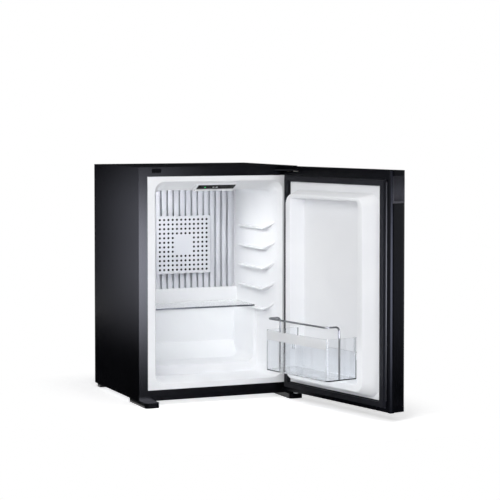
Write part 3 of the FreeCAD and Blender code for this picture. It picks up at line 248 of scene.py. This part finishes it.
blackPanel = {
    "colour": (0.0013, 0.0014, 0.002), "tint": (0.002, 0.0021, 0.003), "hazeScale": 5.0, "grainScale": 1400.0,
    "roughness": (0.18, 0.25), "bump": 0.1, "bumpDepth": 0.0002, "ior": 1.3, "sheen": coolSheen}


def satinBlackSteel():
    return variedFinish("satinBlackSteel", blackPanel)


blackMould = {
    "colour": (0.0013, 0.0014, 0.002), "tint": (0.002, 0.0021, 0.003), "hazeScale": 12.0,
    "grainScale": 2600.0, "roughness": (0.18, 0.25), "bump": 0.1, "bumpDepth": 0.0002, "ior": 1.3}


def blackMoulding():
    return variedFinish("blackMoulding", blackMould)


# the door's own mouldings mirror less of the white compartment
doorMould = {
    "colour": (0.0012, 0.0013, 0.002), "tint": (0.0018, 0.0019, 0.003), "hazeScale": 12.0,
    "grainScale": 2600.0, "roughness": (0.18, 0.25), "bump": 0.1, "bumpDepth": 0.0002, "ior": 1.21,
    "sheen": coolSheen}


def doorMoulding():
    return variedFinish("doorMoulding", doorMould)


# the grip's scoop is a greyer, duller moulding than the caps, and its colour is painted darker towards its
# top as painted shade under the cap
gripMould = {
    "colour": (0.07, 0.07, 0.083), "tint": (0.085, 0.085, 0.1), "hazeScale": 25.0, "grainScale": 2200.0,
    "roughness": (0.4, 0.5), "bump": 0.1, "bumpDepth": 0.0002, "ior": 1.35,
    "paintedShadeColour": (0.006, 0.006, 0.008), "paintedShadeFrom": 0.25}


def gripMoulding():
    finish = variedFinish("gripMoulding", gripMould)
    tree = finish.node_tree
    low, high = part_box("door_grip")
    start = low.z + gripMould["paintedShadeFrom"] * (high.z - low.z)
    height = axesOf(tree, ownPlace(tree))["Z"]
    # painted shade: the scoop's colour goes darker towards its top, where the cap shades it
    overPaint(finish, rampNode(tree, height, (start, high.z)), gripMould["paintedShadeColour"])
    return finish


plugMatt = {
    "colour": (0.002, 0.002, 0.003), "tint": (0.003, 0.003, 0.004), "hazeScale": 40.0, "grainScale": 2600.0,
    "roughness": (0.7, 0.85), "bump": 0.2, "bumpDepth": 0.0002, "ior": 1.15}


def mattPlug():
    return variedFinish("mattPlug", plugMatt)


sealSkin = {
    "colour": (0.004, 0.004, 0.005), "tint": (0.006, 0.006, 0.0075), "hazeScale": 30.0, "grainScale": 1800.0,
    "roughness": (0.42, 0.55), "bump": 0.15, "bumpDepth": 0.0002, "ior": 1.35, "sheen": coolSheen}


def sealRubber():
    return variedFinish("sealRubber", sealSkin)


whiteSheet = {
    "colour": (0.86, 0.87, 0.89), "tint": (0.89, 0.9, 0.915), "hazeScale": 7.0, "grainScale": 320.0,
    "roughness": (0.5, 0.6), "bump": 0.06, "bumpDepth": 0.0004, "ior": 1.25}


def whiteLiner():
    return variedFinish("whiteLiner", whiteSheet)


fillFoam = {
    "colour": (0.78, 0.7, 0.47), "tint": (0.7, 0.6, 0.36), "hazeScale": 40.0, "grainScale": 700.0,
    "roughness": (0.8, 0.95), "bump": 0.6, "bumpDepth": 0.0015}


def insulationFoam():
    return variedFinish("insulationFoam", fillFoam)


paleCoat = {
    "colour": (0.59, 0.605, 0.64), "tint": (0.64, 0.655, 0.69), "hazeScale": 18.0, "grainScale": 1500.0,
    "roughness": (0.38, 0.5), "bump": 0.12, "bumpDepth": 0.0002}


def coatedAluminium():
    return variedFinish("coatedAluminium", paleCoat)


# bare and field are counted in hole pitches from the cover's middle, rim is from its outside to its inside
coverCoat = {
    "colour": (0.565, 0.577, 0.605), "tint": (0.61, 0.622, 0.648), "hazeScale": 14.0, "grainScale": 1900.0,
    "roughness": (0.36, 0.48), "bump": 0.1, "bumpDepth": 0.0002,
    "holePitch": 0.01125, "bare": 2.0, "field": 6.0, "rim": (0.0031, 0.0027),
    "holeShadeColour": (0.006, 0.006, 0.008)}


def coverPaint():
    finish = variedFinish("coverPaint", coverCoat)
    # painted shade: dark rings in and round the punched holes
    overPaint(finish, holeShadeMask(finish.node_tree), coverCoat["holeShadeColour"])
    return finish


# painted shade: one in each punched hole and round its rim, on the grid of the holes
def holeShadeMask(tree):
    low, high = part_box("fin_cover")
    pitch = coverCoat["holePitch"]
    away = vectorNode(tree, "SUBTRACT", ownPlace(tree), (low + high) / 2)
    grid = vectorNode(tree, "DIVIDE", away, (pitch, pitch, pitch))
    cell = vectorNode(tree, "SUBTRACT", vectorNode(tree, "FRACTION", grid), (0.5, 0.5, 0.5))
    flat = vectorNode(tree, "MULTIPLY", cell, (pitch, 0, pitch))
    rim = rampNode(tree, vectorNode(tree, "LENGTH", flat, result="Value"), coverCoat["rim"])
    axes = axesOf(tree, vectorNode(tree, "ABSOLUTE", grid))
    far = mathNode(tree, "MAXIMUM", axes["X"], axes["Z"])
    punched = mathNode(tree, "GREATER_THAN", far, coverCoat["bare"])
    inside = mathNode(tree, "LESS_THAN", far, coverCoat["field"])
    return mathNode(tree, "MULTIPLY", rim, mathNode(tree, "MULTIPLY", punched, inside))


stripGloss = {
    "colour": (0.004, 0.004, 0.005), "tint": (0.007, 0.007, 0.009), "hazeScale": 60.0, "grainScale": 3000.0,
    "roughness": (0.1, 0.18), "bump": 0.04, "bumpDepth": 0.0001, "ior": 1.15}


def glossBlackStrip():
    return variedFinish("glossBlackStrip", stripGloss)


keyCap = {
    "colour": (0.42, 0.43, 0.45), "tint": (0.55, 0.56, 0.58), "hazeScale": 400.0, "grainScale": 3000.0,
    "roughness": (0.3, 0.42), "bump": 0.1, "bumpDepth": 0.0001}


def greyKey():
    return variedFinish("greyKey", keyCap)


lampGlow = {
    "colour": (0.02, 0.5, 0.1), "tint": (0.05, 0.75, 0.2), "hazeScale": 700.0, "grainScale": 3000.0,
    "roughness": (0.2, 0.3), "bump": 0.05, "bumpDepth": 0.0001, "glow": (0.06, 1.0, 0.22), "strength": 0.7}


def greenLamp():
    return variedFinish("greenLamp", lampGlow)


lensMilk = {
    "colour": (0.62, 0.63, 0.64), "tint": (0.68, 0.69, 0.7), "hazeScale": 90.0, "grainScale": 1200.0,
    "roughness": (0.25, 0.35), "bump": 0.08, "bumpDepth": 0.0002, "glow": (1.0, 1.0, 1.0), "strength": 0.12}


def milkyLens():
    return variedFinish("milkyLens", lensMilk)


platedPart = {
    "colour": (0.58, 0.59, 0.6), "tint": (0.7, 0.7, 0.69), "hazeScale": 60.0, "grainScale": 2200.0,
    "roughness": (0.22, 0.38), "bump": 0.12, "bumpDepth": 0.0002, "metallic": 1.0}


def platedSteel():
    return variedFinish("platedSteel", platedPart)


railWire = {
    "colour": (0.2, 0.205, 0.215), "tint": (0.3, 0.305, 0.315), "hazeScale": 50.0, "grainScale": 2200.0,
    "roughness": (0.28, 0.4), "bump": 0.1, "bumpDepth": 0.0002, "metallic": 1.0}


def brushedWire():
    return variedFinish("brushedWire", railWire)


zincSheet = {
    "colour": (0.46, 0.48, 0.5), "tint": (0.6, 0.61, 0.62), "crystal": 55.0, "grainScale": 1200.0,
    "roughness": (0.34, 0.52), "bump": 0.08, "bumpDepth": 0.0002, "metallic": 0.85}


# zinc crystals show as flat cells of slightly different grey
def galvanised():
    finish, tree, bsdf = newFinish("galvanised")
    cells = tree.nodes.new("ShaderNodeTexVoronoi")
    cells.inputs["Scale"].default_value = zincSheet["crystal"]
    tree.links.new(ownPlace(tree), cells.inputs["Vector"])
    pick = tree.nodes.new("ShaderNodeSeparateColor")
    tree.links.new(cells.outputs["Color"], pick.inputs["Color"])
    tone = colourMix(tree, pick.outputs["Red"], zincSheet["colour"], zincSheet["tint"])
    feed(tree, bsdf.inputs["Base Color"], tone)
    feed(tree, bsdf.inputs["Roughness"], rampNode(tree, pick.outputs["Green"], end=zincSheet["roughness"]))
    addBump(tree, bsdf, placeGroup(tree, grainGroup, zincSheet["grainScale"])["Height"], zincSheet)
    setPlain(tree, bsdf, zincSheet)
    return finish


bushNylon = {
    "colour": (0.7, 0.69, 0.66), "tint": (0.76, 0.75, 0.72), "hazeScale": 80.0, "grainScale": 1500.0,
    "roughness": (0.42, 0.55), "bump": 0.12, "bumpDepth": 0.0002}


def naturalNylon():
    return variedFinish("naturalNylon", bushNylon)


unitPaint = {
    "colour": (0.022, 0.023, 0.025), "tint": (0.036, 0.037, 0.039), "hazeScale": 26.0, "grainScale": 900.0,
    "roughness": (0.45, 0.62), "bump": 0.25, "bumpDepth": 0.0003}


def paintedTube():
    return variedFinish("paintedTube", unitPaint)


paneGlass = {
    "colour": (0.98, 0.995, 0.99), "clear": 1.0, "ior": 1.5, "hazeScale": 16.0, "roughness": (0.0, 0.03),
    "shade": (0.96, 0.97, 0.97)}


def shelfGlass():
    return clearFinish("shelfGlass", paneGlass)


clearMould = {
    "colour": (0.945, 0.955, 0.967), "clear": 1.0, "ior": 1.45, "hazeScale": 20.0, "roughness": (0.02, 0.08),
    "shade": (0.88, 0.89, 0.9)}


def clearPlastic():
    return clearFinish("clearPlastic", clearMould)


# which finish each CAD node takes
dressing = {
    satinBlackSteel: ("cabinet_wrapper", "door_outer_panel", "top_hinge_bracket", "hinge_screws"),
    blackMoulding: ("front_frame_top", "front_frame_bottom", "front_frame_left", "front_frame_right",
                    "front_foot_left", "hinge_foot_right", "rear_feet", "electronics_box", "mains_inlet"),
    doorMoulding: ("door_inner_frame", "door_top_cap", "door_bottom_cap"),
    gripMoulding: ("door_grip",),
    sealRubber: ("door_gasket",),
    mattPlug: ("hinge_hole_plug",),
    whiteLiner: ("inner_liner", "door_liner", "control_housing"),
    insulationFoam: ("cabinet_insulation", "door_insulation"),
    coatedAluminium: ("cooling_fin_plate", "evaporator_block"),
    coverPaint: ("fin_cover",),
    glossBlackStrip: ("control_strip",),
    greyKey: ("key_left", "key_right"),
    greenLamp: ("status_led",),
    milkyLens: ("light_lens",),
    platedSteel: ("top_hinge_pin", "bottom_hinge_pin"),
    brushedWire: ("rack_guard_rail",),
    galvanised: ("base_panel", "rear_panel", "boiler_case", "unit_brackets"),
    naturalNylon: ("top_hinge_bush", "bottom_hinge_bush", "drip_tray", "drain_spout"),
    paintedTube: ("absorber_vessel", "absorber_coil", "condenser_tube", "condenser_fins"),
    shelfGlass: ("glass_shelf",),
    clearPlastic: ("rack_tray",),
}
finishes = {}
for makeFinish, names in dressing.items():
    finish = finishes[makeFinish.__name__] = makeFinish()
    for name in names:
        nodes[name].data.materials.clear()
        nodes[name].data.materials.append(finish)
print("finishes:", len(finishes), "on", sum(len(names) for names in dressing.values()), "nodes")


# modelling helpers
pieceEdges = {"smoothBelow": 35, "bevelSegments": 2}


def startPiece(name):
    piece = bpy.context.object
    piece.name = name
    piece.data.name = name
    return piece


# a block in its own place and size, to be shaped further
def startBlock(name, middle, size):
    bpy.ops.mesh.primitive_cube_add(size=1, location=middle)
    piece = startPiece(name)
    piece.scale = size
    bpy.ops.object.transform_apply(location=True, rotation=True, scale=True)
    return piece


def applyModifier(piece, kind, **values):
    modifier = piece.modifiers.new(kind.lower(), kind)
    for key, value in values.items():
        setattr(modifier, key, value)
    bpy.context.view_layer.objects.active = piece
    bpy.ops.object.modifier_apply(modifier=modifier.name)


def roundEdges(piece, width):
    applyModifier(piece, "BEVEL", width=width, segments=pieceEdges["bevelSegments"])


def finishPiece(piece, finish, body):
    bpy.ops.object.select_all(action="DESELECT")
    piece.select_set(True)
    bpy.context.view_layer.objects.active = piece
    bpy.ops.object.transform_apply(location=True, rotation=True, scale=True)
    bpy.ops.object.shade_smooth_by_angle(angle=math.radians(pieceEdges["smoothBelow"]))
    piece.data.materials.clear()
    piece.data.materials.append(finish)
    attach(piece, body)
    bpy.ops.object.select_all(action="DESELECT")


# a door node's lowest and highest corners with the door shut
def shutBox(name):
    points = [swing.inverted() @ corner.co for corner in nodes[name].data.vertices]
    low = Vector([min(point[axis] for point in points) for axis in range(3)])
    high = Vector([max(point[axis] for point in points) for axis in range(3)])
    return low, high


# frosted band along the top of the rack's front wall
rackBand = {"hookReach": 0.006, "height": 0.0215, "thickness": 0.0004, "edgeGap": 0.003, "topGap": 0.0008,
            "bevel": 0.00018}
frostFilm = {
    "colour": (0.84, 0.85, 0.87), "tint": (0.88, 0.89, 0.9), "hazeScale": 22.0, "grainScale": 1800.0,
    "roughness": (0.45, 0.6), "bump": 0.1, "bumpDepth": 0.0002, "alpha": 0.72}


def frostedBand():
    return variedFinish("frostedBand", frostFilm)


def makeRackBand():
    low, high = shutBox("rack_tray")
    width = high.x - low.x - 2 * (rackBand["hookReach"] + rackBand["edgeGap"])
    middle = Vector(((low.x + high.x) / 2, high.y + rackBand["thickness"] / 2,
                     high.z - rackBand["topGap"] - rackBand["height"] / 2))
    band = startBlock("rackBand", middle, (width, rackBand["thickness"], rackBand["height"]))
    roundEdges(band, rackBand["bevel"])
    band.data.transform(swing)
    finishPiece(band, frostedBand(), "rack")


makeRackBand()
print("rack band done")


# sloped welt along the seal's outer edge, on the free side of the door
sealWelt = {"reach": 0.0019, "proud": 0.0024, "gap": 0.0002, "chamfer": 0.0016, "topGap": 0.013,
            "lowGap": 0.012, "touch": 1e-6}


def makeSealWelt():
    seal, seat = shutBox("door_gasket"), shutBox("door_inner_frame")
    low, high = seat[0].z + sealWelt["lowGap"], seat[1].z - sealWelt["topGap"]
    middle = Vector((seal[0].x - sealWelt["gap"] - sealWelt["reach"] / 2,
                     seat[1].y + sealWelt["proud"] / 2, (low + high) / 2))
    welt = startBlock("sealWelt", middle, (sealWelt["reach"], sealWelt["proud"], high - low))
    chamferCrest(welt)
    welt.data.transform(swing)
    finishPiece(welt, finishes["blackMoulding"], "door")


# slopes the one long edge that lies outermost and proudest
def chamferCrest(welt):
    side = min(corner.co.x for corner in welt.data.vertices)
    crest = max(corner.co.y for corner in welt.data.vertices)
    bpy.ops.object.mode_set(mode="EDIT")
    bpy.ops.mesh.select_all(action="DESELECT")
    bpy.ops.object.mode_set(mode="OBJECT")
    for corner in welt.data.vertices:
        corner.select = max(corner.co.x - side, crest - corner.co.y) < sealWelt["touch"]
    bpy.ops.object.mode_set(mode="EDIT")
    bpy.ops.mesh.bevel(offset=sealWelt["chamfer"], segments=1)
    bpy.ops.object.mode_set(mode="OBJECT")


makeSealWelt()
print("seal welt done")


# a dark sheet behind the perforated cover: painted shade that makes the holes look dark
coverShadeSheet = {"inset": 0.0035, "sheet": 0.0015, "gap": 0.0002, "thickness": 0.0005, "bevel": 0.0002,
                "grid": 12}
shadeSheetMatt = {
    "colour": (0.004, 0.004, 0.005), "tint": (0.008, 0.008, 0.01), "hazeScale": 60.0, "grainScale": 2400.0,
    "roughness": (0.85, 0.97), "bump": 0.3, "bumpDepth": 0.0003, "ior": 1.1}


# matt black for the painted-shade sheet behind the cover
def shadeSheetFinish():
    return variedFinish("shadeSheetFinish", shadeSheetMatt)


def makeCoverShadeSheet():
    low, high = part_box("fin_cover")
    middle = (low + high) / 2
    middle.y = low.y + coverShadeSheet["sheet"] + coverShadeSheet["gap"] + coverShadeSheet["thickness"] / 2
    bpy.ops.mesh.primitive_grid_add(
        x_subdivisions=coverShadeSheet["grid"], y_subdivisions=coverShadeSheet["grid"],
        size=high.x - low.x - 2 * coverShadeSheet["inset"],
        location=middle, rotation=(math.radians(90), 0, 0))
    sheet = startPiece("coverShadeSheet")
    bpy.ops.object.transform_apply(location=True, rotation=True, scale=True)
    applyModifier(sheet, "SOLIDIFY", thickness=coverShadeSheet["thickness"], offset=0)
    roundEdges(sheet, coverShadeSheet["bevel"])
    finishPiece(sheet, shadeSheetFinish(), "cabinet")


# a dark strip on the pane's front edge: painted shade for the dark line that the glass edge shows from the
# front
shelfEdge = {"thickness": 0.0004, "inset": 0.004, "bevel": 0.00015}
edgeShade = {
    "colour": (0.05, 0.056, 0.07), "tint": (0.075, 0.08, 0.098), "hazeScale": 14.0, "grainScale": 1500.0,
    "roughness": (0.3, 0.42), "bump": 0.08, "bumpDepth": 0.0002}


# finish of the painted-shade strip on the pane's edge
def edgeShadeFinish():
    return variedFinish("edgeShadeFinish", edgeShade)


def makeShelfEdge():
    low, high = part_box("glass_shelf")
    middle = (low + high) / 2
    middle.y = low.y - shelfEdge["thickness"] / 2
    width = high.x - low.x - 2 * shelfEdge["inset"]
    edge = startBlock("shelfEdge", middle, (width, shelfEdge["thickness"], high.z - low.z))
    roundEdges(edge, shelfEdge["bevel"])
    finishPiece(edge, edgeShadeFinish(), "shelf")


makeCoverShadeSheet()
makeShelfEdge()
print("cover shade sheet and shelf edge done")


# stage helpers

def stageFinish(name):
    finish = bpy.data.materials.new(name)
    finish.use_nodes = True
    tree = finish.node_tree
    tree.nodes.remove(tree.nodes["Principled BSDF"])
    return finish, tree


# one where a camera, glossy or transmission ray looks at the stage
def seenDirectly(tree):
    path = tree.nodes.new("ShaderNodeLightPath").outputs
    mirrored = mathNode(tree, "MAXIMUM", path["Is Glossy Ray"], path["Is Transmission Ray"])
    return mathNode(tree, "MAXIMUM", path["Is Camera Ray"], mirrored)


# a white floor that keeps the shadow near the fridge's own box and is plain white farther off
stageFloor = {"size": 14.0, "colour": (0.92, 0.92, 0.925), "lift": 0.55, "near": 0.01, "far": 0.2}


def makeFloor():
    bpy.ops.mesh.primitive_plane_add(size=stageFloor["size"], location=(0, 0, 0))
    floor = startPiece("stageFloor")
    finish, tree = stageFinish("floorWhite")
    seen = seenDirectly(tree)
    lit = tree.nodes.new("ShaderNodeBsdfDiffuse")
    feed(tree, lit.inputs["Color"], stageFloor["colour"])
    lift = tree.nodes.new("ShaderNodeEmission")
    feed(tree, lift.inputs["Strength"], mathNode(tree, "MULTIPLY", seen, stageFloor["lift"]))
    near = tree.nodes.new("ShaderNodeAddShader")
    tree.links.new(lit.outputs[0], near.inputs[0])
    tree.links.new(lift.outputs[0], near.inputs[1])
    plain = tree.nodes.new("ShaderNodeEmission")
    mixShaders(tree, mathNode(tree, "MULTIPLY", farOff(tree), seen), near, plain)
    floor.data.materials.append(finish)


# nothing on the floor under the box, one at a distance from it
def farOff(tree):
    low, high = Vector(cadBox[0]), Vector(cadBox[1])
    middle, half = (low + high) / 2, (high - low) / 2
    middle.z = half.z = 0
    aside = vectorNode(tree, "ABSOLUTE", vectorNode(tree, "SUBTRACT", ownPlace(tree), middle))
    past = vectorNode(tree, "MAXIMUM", vectorNode(tree, "SUBTRACT", aside, half), (0, 0, 0))
    reach = vectorNode(tree, "LENGTH", past, result="Value")
    return rampNode(tree, reach, (stageFloor["near"], stageFloor["far"]), smooth=True)


backdrop = {"white": (1.0, 1.0, 1.0), "ambient": (0.12, 0.122, 0.127)}


def makeWorld():
    world = bpy.data.worlds.new("studioWhite")
    bpy.context.scene.world = world
    world.use_nodes = True
    tree = world.node_tree
    tone = colourMix(tree, seenDirectly(tree), backdrop["ambient"], backdrop["white"])
    feed(tree, tree.nodes["Background"].inputs["Color"], tone)


# gloss says whether the lamp shows in reflections
softBoxes = {
    "frontSoft": {"place": (0, -3.3, 1.2), "aim": (0, 0, 0.28), "size": (2, 2), "power": 13, "gloss": False},
    "keyLeft": {"place": (-1.7, -2, 1.5), "aim": (0.1, -0.1, 0.3), "size": (1.6, 1.6), "power": 41,
                "gloss": True},
    "topSoft": {"place": (0.1, -0.6, 2.3), "aim": (0, -0.2, 0.3), "size": (1.6, 1.6), "power": 13.5,
                "gloss": False},
    "fridgeLamp": {"place": (-0.045, -0.118, 0.492), "aim": (-0.035, 0.03, 0.2), "size": (0.095, 0.006),
                   "power": 0.35, "gloss": True},
}


def makeLights():
    for name, lamp in softBoxes.items():
        bpy.ops.object.light_add(type="AREA", location=lamp["place"])
        light = bpy.context.object
        light.name = name
        light.data.shape = "RECTANGLE"
        light.data.size, light.data.size_y = lamp["size"]
        light.data.energy = lamp["power"]
        light.visible_glossy = lamp["gloss"]
        aim = Vector(lamp["aim"]) - Vector(lamp["place"])
        light.rotation_euler = aim.to_track_quat("-Z", "Y").to_euler()


# studio cards that only reflections see: they shape the sheen on the black panels
# each fade names an axis of the card, where the glow is nothing and where it is full
sheenCards = {
    "sideCard": {"place": (-0.62, 1.5, 0.55), "size": (3.6, 1.1), "turn": (90, 0, 90), "bright": 1.06,
                 "fades": (("X", -0.04, -0.18), ("Y", -0.555, -0.28), ("Y", 0.064, -0.155))},
    "floorCard": {"place": (-0.41, 0.7, 0.001), "size": (0.41, 1.9), "turn": (0, 0, 0), "bright": 0.011,
                  "fades": (("X", -0.5, 0.5),)},
    "stileCard": {"place": (0.3, -1.2, 0.5), "size": (1.3, 1.0), "turn": (90, 0, 0), "bright": 20.0,
                  "fades": (("X", 0.07, -0.1), ("Y", -0.62, -0.3), ("Y", 0.05, -0.2))},
    "nearCard": {"place": (0.0, -0.62, 0.001), "size": (0.9, 0.85), "turn": (0, 0, 0), "bright": 1.1,
                 "fades": (("Y", 0.4, -0.5),)},
    "rightCard": {"place": (2.2, -1.9, 0.001), "size": (3.8, 2.6), "turn": (0, 0, 0), "bright": 1.0,
                  "fades": (("X", -0.45, 0.05),)},
    "backCard": {"place": (1.2, 3.6, 1.8), "size": (8.0, 3.6), "turn": (90, 0, 0), "bright": 0.022,
                 "fades": (("X", 0.5, -0.5),)},
}
cardTint = (0.845, 0.86, 1.0)


def makeCards():
    for name, card in sheenCards.items():
        bpy.ops.mesh.primitive_plane_add(size=1, location=card["place"],
                                         rotation=[math.radians(angle) for angle in card["turn"]])
        sheet = startPiece(name)
        sheet.scale = (*card["size"], 1)
        sheet.visible_camera = sheet.visible_diffuse = False
        sheet.visible_shadow = sheet.visible_transmission = False
        sheet.data.materials.append(cardGlow(name, card))


# glow that fades along the card's own axes
def cardGlow(name, card):
    finish, tree = stageFinish(name)
    glow = tree.nodes.new("ShaderNodeEmission")
    feed(tree, glow.inputs["Color"], cardTint)
    axes = axesOf(tree, ownPlace(tree))
    level = card["bright"]
    for axis, none, full in card["fades"]:
        level = mathNode(tree, "MULTIPLY", rampNode(tree, axes[axis], (none, full), smooth=True), level)
    feed(tree, glow.inputs["Strength"], level)
    tree.links.new(glow.outputs[0], tree.nodes["Material Output"].inputs["Surface"])
    return finish


# the photograph's camera: almost level, from the left of the front; focal is in pixels of its image
viewpoint = {"place": (-1.50691, -3.86071, 0.65972), "yaw": 23.205, "pitch": 2.324, "focal": 1701.79,
             "imageWidth": 500, "sensor": 36.0, "shift": -0.12, "farthest": 60}


def makeCamera():
    tilt = math.radians(90 - viewpoint["pitch"])
    turn = -math.radians(viewpoint["yaw"])
    bpy.ops.object.camera_add(location=viewpoint["place"], rotation=(tilt, 0, turn))
    camera = bpy.context.object
    camera.name = "photoCamera"
    camera.data.sensor_width = viewpoint["sensor"]
    camera.data.lens = viewpoint["focal"] * viewpoint["sensor"] / viewpoint["imageWidth"]
    camera.data.shift_y = viewpoint["shift"]
    camera.data.clip_end = viewpoint["farthest"]
    bpy.context.scene.camera = camera


makeFloor()
makeWorld()
makeLights()
makeCards()
makeCamera()
bpy.context.scene.view_settings.view_transform = "Standard"
print("stage, lights and camera done")
